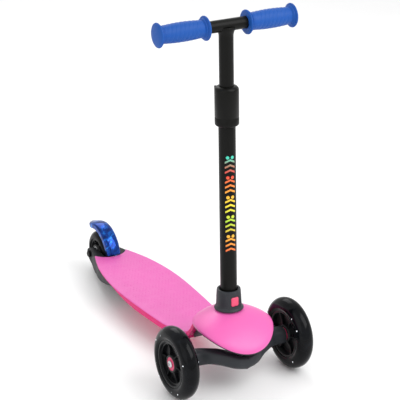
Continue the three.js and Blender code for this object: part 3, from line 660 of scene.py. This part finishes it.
def makeButton():
    face, depth = button["face"], button["depth"]
    stations = [(face + back, inset) for back, inset in
                ((0, 2.2), (0.25, 1.2), (0.6, 0.5), (1.1, 0.1), (1.6, 0), (depth, 0))]
    piece = slab("releaseButton", button["width"], button["height"], button["corner"], stations)
    # the hollow behind it, for its spring
    combine(piece, [rod("hollow", 3 * mm, (face + 0.6) * mm, (face + depth + 1) * mm, 32, "Y")])
    placed(piece, stemPlace @ Matrix.Translation(Vector((0, 0, button["z"] * mm))))
    finished(piece, coral, "release_button", "coral_plastic", "release_button")


makeSocket()
makeButton()

# the lower tube with its printed marks
tube = {"radius": 13.5, "bore": 12, "foot": -44.5, "top": 371, "catchHole": 3.2,
        "marksFrom": 112, "marksTo": 268, "markStep": 8.2, "facing": -12}


def makeLowerTube():
    outline = rounded([(tube["bore"], tube["foot"]), (tube["radius"], tube["foot"]),
                       (tube["radius"], tube["top"]), (tube["bore"], tube["top"])], 0.5, 3)
    piece = turned("lowerTube", inMm(outline), 96, "Z")
    catchHole = rod("hole", tube["catchHole"] * mm, -20 * mm, -8 * mm, 32, "Y")
    placed(catchHole, Matrix.Translation(Vector((0, 0, button["z"] * mm))))
    combine(piece, [catchHole])
    placed(piece, stemPlace)
    finished(piece, blackPaint, "stem", "black_paint", "lower_tube")


def curvedMark(name, strip, radius, thickness):
    # a strip of [across, low, high] laid round a tube
    rings = []
    for x, low, high in strip:
        near, far = radius - thickness, radius + thickness
        c, s = -math.cos(x / radius), math.sin(x / radius)
        rings.append([(near * s, near * c, low), (far * s, far * c, low), (far * s, far * c, high),
                      (near * s, near * c, high)])
    return lofted(name, rings)


mark = {"half": 8.4, "thick": 1.55, "rise": 4.2, "dot": 2.7, "steps": 16, "dotTurn": 0.29}


def makeMarks():
    # three chevrons, then a pair of dots, repeated up the tube
    radius, thickness = tube["radius"] * mm, 0.12 * mm
    half, thick, rise, dotSize = (mark[key] * mm for key in ("half", "thick", "rise", "dot"))
    chevron, dot = [], []
    for k in range(mark["steps"] + 1):
        across = 2 * k / mark["steps"] - 1
        peak = rise * (1 - abs(across))
        chevron.append((across * half, peak - thick, peak + thick))
        bow = max(0.05, math.cos(across * math.pi / 2)) * dotSize
        dot.append((math.sin(across * math.pi / 2) * dotSize, -bow, bow))
    chevrons, dots = [], []
    height, count = tube["marksFrom"], 0
    while height < tube["marksTo"]:
        place = stemPlace @ Matrix.Rotation(math.radians(tube["facing"]), 4, "Z") @ Matrix.Translation(
            Vector((0, 0, height * mm)))
        if count % 4 == 3:
            for side in (-1, 1):
                dots.append(place @ Matrix.Rotation(side * mark["dotTurn"], 4, "Z"))
        else:
            chevrons.append(place)
        height += tube["markStep"]
        count += 1
    low = (stemPlace @ Vector((0, 0, tube["marksFrom"] * mm))).z
    high = (stemPlace @ Vector((0, 0, tube["marksTo"] * mm))).z
    ink = rainbowInk(low, high)
    for name, strip, places in (("tubeChevrons", chevron, chevrons), ("tubeDots", dot, dots)):
        stamp = curvedMark("mark", strip, radius, thickness)
        finished(repeated(name, stamp, places, ink), None, "stem", "black_paint")


makeLowerTube()
makeMarks()

# the clamp sleeve, its lever behind it
sleeve = {"bottom": 317, "top": 380, "radius": 19.1, "groove": 331, "shoulder": 6.5, "foot": 3.6}
lever = {"pivotZ": 367, "width": 10}


def makeSleeve():
    r, bottom, top, groove = sleeve["radius"], sleeve["bottom"], sleeve["top"], sleeve["groove"]
    profile = [(0, bottom)]
    foot = sleeve["foot"]
    for k in range(9):
        angle = math.radians(-90 + 90 * k / 8)
        profile.append((r - foot + foot * math.cos(angle), bottom + foot + foot * math.sin(angle)))
    profile += [(r, groove - 1.0), (r - 0.45, groove - 0.3), (r - 0.45, groove + 0.3), (r, groove + 1.0)]
    for k in range(13):
        angle = math.radians(90 * k / 12)
        profile.append((r - sleeve["shoulder"] + sleeve["shoulder"] * math.cos(angle),
                        top - sleeve["shoulder"] + sleeve["shoulder"] * math.sin(angle)))
    profile.append((0, top))
    piece = turned("clampSleeve", inMm(profile), 96, "Z")
    ears = blockObject("ears", (17.4 * mm, 15.2 * mm, 20 * mm), (0, 15.6 * mm, (lever["pivotZ"] - 1) * mm))
    combine(piece, [ears], "UNION")
    room = rod("room", 13.8 * mm, 0.312, 0.3762, 64, "Z")
    throat = rod("throat", 11.7 * mm, 0.31, 0.39, 64, "Z")
    slot = blockObject("slot", ((lever["width"] + 0.8) * mm, 30 * mm, 75 * mm), (0, 29.3 * mm, 345 * mm))
    combine(piece, [room, throat, slot], bevel=0.4 * mm)
    placed(piece, stemPlace)
    finished(piece, blackPaint, "stem", "black_paint", "clamp_sleeve")


makeSleeve()
finished(softened("clamp_lever", "clampLever", 0.8 * mm), graphite, "clamp_lever", "graphite_plastic",
         "clamp_lever")

# the T-bar: post and crossbar, welded
bar = {"radius": 9.5, "bore": 7.6, "half": 112, "postRadius": 11.4, "postBore": 9.6, "postFoot": 205,
       "beads": 54}


def makeTeeBar():
    height = barHeight / mm
    postProfile = [(bar["postBore"], bar["postFoot"]), (bar["postRadius"], bar["postFoot"]),
                   (bar["postRadius"], height - 16), (bar["postRadius"] + 0.5, height - 12),
                   (bar["postRadius"] + 2.6, height - 6), (bar["postRadius"] + 2.6, height - 2.0),
                   (bar["postBore"], height - 2.0)]
    post = turned("post", inMm(rounded(postProfile, 1.6, 4)), 96, "Z")
    cross = turned("teeBar", inMm(rounded(
        [(bar["bore"], -bar["half"]), (bar["radius"], -bar["half"]), (bar["radius"], bar["half"]),
         (bar["bore"], bar["half"])], 0.5, 3)), 96, "X")
    placed(cross, Matrix.Translation(Vector((0, 0, barHeight))))
    trim = rod("trim", (bar["radius"] - 0.4) * mm, -0.03, 0.03)
    placed(trim, Matrix.Translation(Vector((0, 0, barHeight))))
    combine(post, [trim])
    combine(cross, [post], "UNION")
    placed(cross, stemPlace)
    finished(cross, blackPaint, "handlebar", "black_paint", "tee_bar")


def makeWeld():
    # a run of small beads round the joint of post and crossbar
    bead = turned("bead", inMm([(0, -0.9), (0.75, -0.5), (0.95, 0), (0.75, 0.5), (0, 0.9)]), 8, "Z")
    places = []
    reach = bar["postRadius"] * 0.84
    for k in range(bar["beads"]):
        angle = 2 * math.pi * k / bar["beads"]
        x, y = reach * 1.12 * math.cos(angle), reach * 0.78 * math.sin(angle)
        z = barHeight / mm - math.sqrt(max(bar["radius"] ** 2 - y * y, 0.0))
        places.append(stemPlace @ Matrix.Translation(Vector((x * mm, y * mm, z * mm)))
                      @ Matrix.Rotation(angle, 4, "Z") @ Matrix.Rotation(0.9, 4, "Y"))
    finished(repeated("weldBeads", bead, places, blackPaint, spread=0.12), None, "handlebar", "black_paint")


makeTeeBar()
makeWeld()

# the grips: barrel-shaped rubber with slanting scallops between two flanges
grip = {"inner": 34.5, "outer": 120.4, "flange": 19.1, "neck": 13.3, "belly": 15.2, "bore": 9.8, "boreEnd": 112.3,
        "scallops": 9, "depth": 0.75, "slant": 2.0}


def gripProfile():
    inner, outer, flange = grip["inner"], grip["outer"], grip["flange"]
    endPart = [(0, 0), (6, 0.12), (11, 0.5), (15, 1.2), (17.6, 2.0), (18.7, 2.7), (flange, 3.6), (18.8, 4.5),
               (17.4, 5.2), (15.9, 5.8), (15.6, 6.8), (15.8, 7.6), (14.6, 8.4)]
    points = [(r, outer - back) for r, back in endPart]
    start, end, steps = outer - 9.5, inner + 8.2, 76
    for k in range(steps + 1):
        t = k / steps
        points.append((grip["neck"] + (grip["belly"] - grip["neck"]) * math.sin(math.pi * t) ** 0.8,
                       start + (end - start) * t))
    flangePart = [(14.4, 7.4), (15.6, 6.8), (15.7, 6.0), (14.9, 5.2), (15.6, 4.2), (17.6, 3.5), (18.8, 2.9),
                  (flange, 2.1), (18.9, 1.2), (18.1, 0.5), (16.5, 0.1), (14, 0), (grip["bore"], 0)]
    points += [(r, inner + out) for r, out in flangePart]
    points += [(grip["bore"], grip["boreEnd"]), (0, grip["boreEnd"])]
    return inMm(points)


def scalloped(r, h, angle):
    # slanting hollows, fading out towards the ends of the barrel
    low, high = (grip["inner"] + 10) * mm, (grip["outer"] - 11) * mm
    if r < 12.5 * mm or not low < h < high:
        return r
    along = (h - low) / (high - low)
    fade = min(1.0, min(along, 1 - along) * 7)
    wave = math.sin(math.pi * (grip["scallops"] * along + grip["slant"] * angle / math.pi))
    return r - grip["depth"] * mm * fade * (1 - abs(wave)) ** 2.2


def makeGrips():
    for side, turn in (("left", 0.0), ("right", math.pi)):
        piece = turned(f"grip{side.title()}", gripProfile(), 112, "X", shape=scalloped, smoothAngle=50)
        barPlace = stemPlace @ Matrix.Translation(Vector((0, 0, barHeight)))
        placed(piece, barPlace @ Matrix.Rotation(turn, 4, "Z"))
        finished(piece, rubberBlue, "handlebar", "blue_rubber", f"grip_{side}")


makeGrips()
print("stem and handlebar made")

# the front beam: a swept arm each side of the steering pin, with a ridge along it
beam = {"end": 92, "around": 56, "along": 96, "square": 0.82, "ridge": 1.3, "ridgeAt": 140, "boss": 14}
# [distance from the middle, section centre y, centre z, half depth, half height]
beamStations = [(0, -24, 48, 22, 12.5), (20, -24.5, 54, 20, 13), (38, -17.5, 59.5, 16, 13),
                (56, -11, 63, 14, 12.5), (70, -2, 61, 14, 13.5), (92, 0, 60, 14, 14)]


def beamRing(x):
    y, z, depth, height = (smoothAt(beamStations, abs(x), column) for column in (1, 2, 3, 4))
    ring = []
    fade = max(0.0, 1 - abs(x) / 80)
    for k in range(beam["around"]):
        angle = 2 * math.pi * k / beam["around"]
        c, s = math.cos(angle), math.sin(angle)
        off = (math.degrees(angle) - beam["ridgeAt"]) / 16
        grow = 1 + fade * beam["ridge"] / 14 * math.exp(-off * off)
        ring.append((x * mm, (y + depth * grow * math.copysign(abs(c) ** beam["square"], c)) * mm,
                     (z + height * grow * math.copysign(abs(s) ** beam["square"], s)) * mm))
    return ring


def pinDisc(name, radius, low, high):
    return placed(rod(name, radius * mm, low * mm, high * mm, 64, "Z"), steerPlace)


def makeBeam():
    half = beam["along"] // 2
    rings = [beamRing(k / half * beam["end"]) for k in range(-half, half + 1)]
    piece = placed(lofted("frontBeam", rings), groundUnderAxle)
    combine(piece, [pinDisc("boss", beam["boss"], -14, 2)], "UNION")
    cutters = [pinDisc("over", 17, 2, 40), pinDisc("under", 11, -40, -14), pinDisc("bore", 7.3, -30, 30)]
    for side in (-1, 1):
        hole = rod("axleHole", 4.3 * mm, 64 * mm, 100 * mm, 32)
        placed(hole, Matrix.Translation(frontAxle) @ Matrix.Rotation(0 if side > 0 else math.pi, 4, "Z"))
        cutters.append(hole)
    combine(piece, cutters, bevel=0.6 * mm)
    finished(piece, graphite, "front_beam", "graphite_plastic", "front_beam")


makeBeam()

# wheels: a smoked tyre on a dished, spoked core, with lamps in the front pair
frontWheel = {"radius": 60, "half": 14.5, "rim": 39.5, "hub": 15, "hubHalf": 11, "spokes": 6, "lamps": 14}
rearWheel = {"radius": 40, "half": 12, "rim": 26, "hub": 15, "hubHalf": 12, "spokes": 6, "lamps": 0}
wheels = [("front_left", "front_wheel_left", "left", frontWheel, 0.0),
          ("front_right", "front_wheel_right", "right", frontWheel, math.pi),
          ("rear", "rear_wheel", "", rearWheel, 0.0)]


def makeTyre(ending, body, wheel, place):
    crown, inner = wheel["half"], wheel["rim"] + 0.3
    profile = [(inner, -crown + 1.9), (inner + 1.2, -crown + 0.9), (inner + 3.0, -crown + 0.7),
               (wheel["radius"] - crown - 1.5, -crown)]
    steps = 28
    for k in range(steps + 1):
        angle = (k / steps - 0.5) * math.pi
        profile.append((wheel["radius"] - crown + crown * math.cos(angle), crown * math.sin(angle)))
    profile += [(r, -h) for r, h in profile[3::-1]]
    piece = turned("tyre_" + ending, inMm(profile), 128, "X")
    placed(piece, place)
    finished(piece, tyreGloss, body, "smoked_tyre", "tyre_" + ending)


def makeCore(ending, body, wheel, place):
    rim, hub, hubHalf, rimHalf = wheel["rim"], wheel["hub"], wheel["hubHalf"], wheel["half"] - 2
    seat, boreHalf = 11.3, hubHalf - 7.3
    profile = [(seat, -hubHalf), (hub - 1.2, -hubHalf), (hub, -hubHalf + 2.4), (hub + 1.5, -3.0),
               (rim - 5, -3.0), (rim - 3.2, -rimHalf), (rim, -rimHalf)]
    mirror = [(r, -h) for r, h in profile[::-1]]
    profile += mirror + [(seat, boreHalf), (8, boreHalf), (8, -boreHalf), (seat, -boreHalf)]
    piece = turned("core_" + ending, inMm(rounded(profile, 0.7, 3)), 112, "X")
    placed(piece, place)
    finished(piece, coreBlack, body, "black_core", "wheel_core_" + ending)


def makeSpokes(ending, body, wheel, place):
    # tapered blades between hub and rim, standing on both faces of the web
    rim, hub, depth = wheel["rim"] - 3.4, wheel["hub"] - 0.3, wheel["hubHalf"] - 1.6
    rings = []
    for k in range(9):
        t = k / 8
        radius = hub + (rim - hub) * t
        wide, deep = 3.6 - 1.5 * math.sin(math.pi * t), depth - 2.2 * math.sin(math.pi * t)
        outline = rounded([(deep, wide / 2 - 0.6), (-deep, wide / 2), (-deep, -wide / 2),
                           (deep, -wide / 2 + 0.6)], 0.6, 3)
        rings.append([(x * mm, (y + 2.2 * math.sin(math.pi * t)) * mm, radius * mm) for x, y in outline])
    spoke = lofted("spoke", rings)
    count = wheel["spokes"]
    places = [place @ Matrix.Rotation(2 * math.pi * (k + 0.5) / count, 4, "X") for k in range(count)]
    finished(repeated("spokes_" + ending, spoke, places, coreBlack), None, body, "black_core")


def makeSeals(ending, body, wheel, place):
    # the dust seals of the bearings, with a fine groove
    for end, way in (("outer", 1), ("inner", -1)):
        face = way * wheel["hubHalf"]
        back = way * (wheel["hubHalf"] - 7)
        groove = face - way * 0.4
        profile = [(4.3, back), (11, back), (11, face - way * 0.3), (10.6, face), (9.6, face), (9.4, groove),
                   (7.2, groove), (7.0, face), (4.3, face)]
        piece = turned(f"bearing_seal_{ending}_{end}", inMm(profile), 64, "X")
        placed(piece, place)
        finished(piece, seal if "front" in ending else steel, body, "steel", f"bearing_{ending}_{end}")


def makeLamps(ending, body, wheel, place):
    # the lamp studs carry the faintly glowing finish, painted sparkle highlights
    stud = turned("lampStud", inMm([(0, -0.6), (1.1, -0.4), (1.1, 0.1), (0.7, 0.5), (0, 0.6)]), 12, "X")
    places = []
    for k in range(wheel["lamps"]):
        spin = Matrix.Rotation(2 * math.pi * (k + 0.35) / wheel["lamps"], 4, "X")
        for way in (1, -1):
            out = Vector((way * (wheel["half"] - 0.75) * mm, 0, (45.0 + 2.2 * (k % 3)) * mm))
            places.append(place @ spin @ Matrix.Translation(out))
    lamps = repeated("lamps_" + ending, stud, places, lampGlintFinish, spread=0.25, seed=11)
    finished(lamps, None, body, "light_plastic")


for ending, body, side, wheel, turn in wheels:
    wheelPlace = Matrix.Translation(middleOf("tyre_" + ending)) @ Matrix.Rotation(turn, 4, "Z")
    makeTyre(ending, body, wheel, wheelPlace)
    makeCore(ending, body, wheel, wheelPlace)
    makeSpokes(ending, body, wheel, wheelPlace)
    makeSeals(ending, body, wheel, wheelPlace)
    if wheel["lamps"]:
        makeLamps(ending, body, wheel, wheelPlace)
print("beam and wheels made")

# the axle bolts: a domed head with a hexagonal socket
bolt = {"radius": 4, "head": 6, "height": 2.5, "socket": 2.6}


def makeAxleBolts():
    for side, turn in (("left", 0.0), ("right", math.pi)):
        low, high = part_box(f"front_axle_bolt_{side}")
        crown = max(abs(low.x), abs(high.x)) / mm
        root = min(abs(low.x), abs(high.x)) / mm
        face = crown - bolt["height"]
        profile = [(0, root), (bolt["radius"], root), (bolt["radius"], face), (bolt["head"], face),
                   (bolt["head"], face + 1.0), (5.2, crown - 0.5), (3.6, crown), (0, crown)]
        piece = turned("axleBolt" + side.title(), inMm(rounded(profile, 0.4, 3, closed=False)), 64, "X")
        combine(piece, [rod("key", bolt["socket"] * mm, (crown - 1.6) * mm, (crown + 1) * mm, 6)])
        placed(piece, Matrix.Translation(frontAxle) @ Matrix.Rotation(turn, 4, "Z"))
        finished(piece, steel, "front_beam", "steel", f"front_axle_bolt_{side}")


makeAxleBolts()

# the rear carrier and the steering housing, their edges rounded, and the screws that hold them
# the rear carrier takes the darkened graphite: painted shade on the same graphite plastic
finished(softened("rear_carrier", "rearCarrier", 1.1 * mm), carrierShadedGraphite, "deck", "graphite_plastic",
         "rear_carrier")
finished(softened("steering_housing", "steeringHousing", 0.8 * mm), graphite, "deck", "graphite_plastic",
         "steering_housing")


def crossScrew(name, length):
    profile = [(0, -2.2), (1.6, -2.15), (2.7, -1.8), (3.4, -1.1), (3.6, -0.3), (3.6, 0), (1.6, 0),
               (1.6, length), (0, length)]
    piece = turned(name, inMm(profile), 32, "Z")
    arms = [blockObject("slotArm", size, (0, 0, -2.2 * mm)) for size in
            ((3.6 * mm, 0.8 * mm, 2.0 * mm), (0.8 * mm, 3.6 * mm, 2.0 * mm))]
    return combine(piece, arms)


def makeScrews():
    kinds = (("carrierScrews", "carrier_screw_", 5.5), ("housingScrews", "housing_screw_", 19.0))
    for name, prefix, length in kinds:
        found = sorted(n for n in nodes if n.startswith(prefix))
        places = []
        for n in found:
            low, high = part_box(n)
            seat = Vector(((low.x + high.x) / 2, (low.y + high.y) / 2, low.z + 2.2 * mm))
            places.append(Matrix.Translation(seat))
        finished(repeated(name, crossScrew("screw", length), places, steel), None, "deck", "steel", *found)


makeScrews()

# the brake fender: a glossy hood that follows the wheel, its tail drawn to a lifted tip
fender = {"crown": 59, "edgeDrop": 5, "skirt": 4, "wall": 3.0, "half": 13.7, "from": 166, "to": 56, "kick": 2.6,
          "across": 28, "along": 64}


def makeFender():
    rings = []
    for i in range(fender["along"] + 1):
        t = i / fender["along"]
        angle = math.radians(fender["from"] + (fender["to"] - fender["from"]) * t)
        tail = max(0.0, (t - 0.84) / 0.16)
        kick = fender["kick"] * tail * tail
        half = fender["half"] * math.sqrt(max(0.3, 1 - 0.70 * tail**3))
        wall = fender["wall"]
        crown, drop = fender["crown"] + kick, fender["edgeDrop"]
        skirt = fender["skirt"] * (1 - 0.8 * tail)
        outer = []
        for k in range(fender["across"] + 1):
            u = 2 * k / fender["across"] - 1
            lean = u * math.pi / 2
            outer.append((half * math.sin(lean), crown - drop * (1 - math.cos(lean)) ** 1.1))
        base = crown - drop - wall - skirt
        inner = [(x * (1 - wall * 0.7 / half), r - wall) for x, r in outer[::-1]]
        section = outer + [(half, base + 0.5), (half - 0.5, base), (half - wall * 0.7, base)] + inner
        section += [(-half + wall * 0.7, base), (-half + 0.5, base), (-half, base + 0.5)]
        rings.append([(x * mm, r * mm * math.cos(angle), r * mm * math.sin(angle)) for x, r in section])
    piece = placed(lofted("brakeFender", rings, smoothAngle=40), Matrix.Translation(rearAxle))
    # the hinge barrel at its foot
    pivot = middleOf("fender_pin")
    barrel = rod("barrel", 4.3 * mm, -13.5 * mm, 13.5 * mm, 48)
    placed(barrel, Matrix.Translation(pivot))
    combine(piece, [barrel], "UNION")
    # the bore for its pin, and the slot round the spring on it
    cutters = []
    for name, radius, reach in (("bore", 2.3 * mm, 20 * mm), ("springSlot", 6 * mm, 3.5 * mm)):
        cutters.append(placed(rod(name, radius, -reach, reach, 48), Matrix.Translation(pivot)))
    combine(piece, cutters)
    finished(piece, candyBlue, "rear_brake", "candy_blue", "brake_fender")


makeFender()
print("carrier, screws and fender made")

# floor, lights and camera
studio = {"floor": 6.0, "key": 34, "fill": 8, "rim": 14, "world": 0.85}
camera = {"azimuth": -29.557, "elevation": 22.125, "distance": 2.4, "aim": (-0.00506, -0.13017, 0.28207),
          "lens": 133.2}


def makeStudio():
    half = studio["floor"]
    corners = [(-half, -half, 0), (half, -half, 0), (half, half, 0), (-half, half, 0)]
    floor = meshObject("floor", corners, [(0, 1, 2, 3)])
    material, tree, shader, where = newMaterial("paleFloor", (0.92, 0.92, 0.92), 0.6)
    tree.links.new(ramp(tree, noise(tree, where, 3), [(0.3, (0.91, 0.91, 0.91)), (0.7, (0.93, 0.93, 0.93))]),
                   shader.inputs["Base Color"])
    floor.data.materials.append(material)
    world = bpy.data.worlds.new("studio")
    world.use_nodes = True
    world.node_tree.nodes["Background"].inputs["Color"].default_value = (1, 1, 1, 1)
    world.node_tree.nodes["Background"].inputs["Strength"].default_value = studio["world"]
    bpy.context.scene.world = world
    bpy.context.scene.view_settings.view_transform = "Standard"
    for name, power, size, position in (("key", studio["key"], 1.8, (0.9, -1.6, 2.0)),
                                        ("fill", studio["fill"], 2.0, (-2.0, -0.9, 1.3)),
                                        ("rim", studio["rim"], 1.4, (0.3, 1.7, 1.8))):
        light = bpy.data.lights.new(name, "AREA")
        light.energy = power
        light.size = size
        holder = bpy.data.objects.new(name, light)
        holder.location = position
        holder.rotation_euler = (Vector((0, 0, 0.2)) - Vector(position)).to_track_quat("-Z", "Y").to_euler()
        bpy.context.scene.collection.objects.link(holder)


def makeCamera():
    azimuth, elevation = math.radians(camera["azimuth"]), math.radians(camera["elevation"])
    level = math.cos(elevation)
    look = Vector((-math.sin(azimuth) * level, math.cos(azimuth) * level, -math.sin(elevation)))
    data = bpy.data.cameras.new("camera")
    data.lens = camera["lens"]
    data.sensor_width = 36
    holder = bpy.data.objects.new("camera", data)
    holder.location = Vector(camera["aim"]) - look * camera["distance"]
    holder.rotation_euler = look.to_track_quat("-Z", "Y").to_euler()
    bpy.context.scene.collection.objects.link(holder)
    bpy.context.scene.camera = holder


makeStudio()
makeCamera()
print("studio ready")
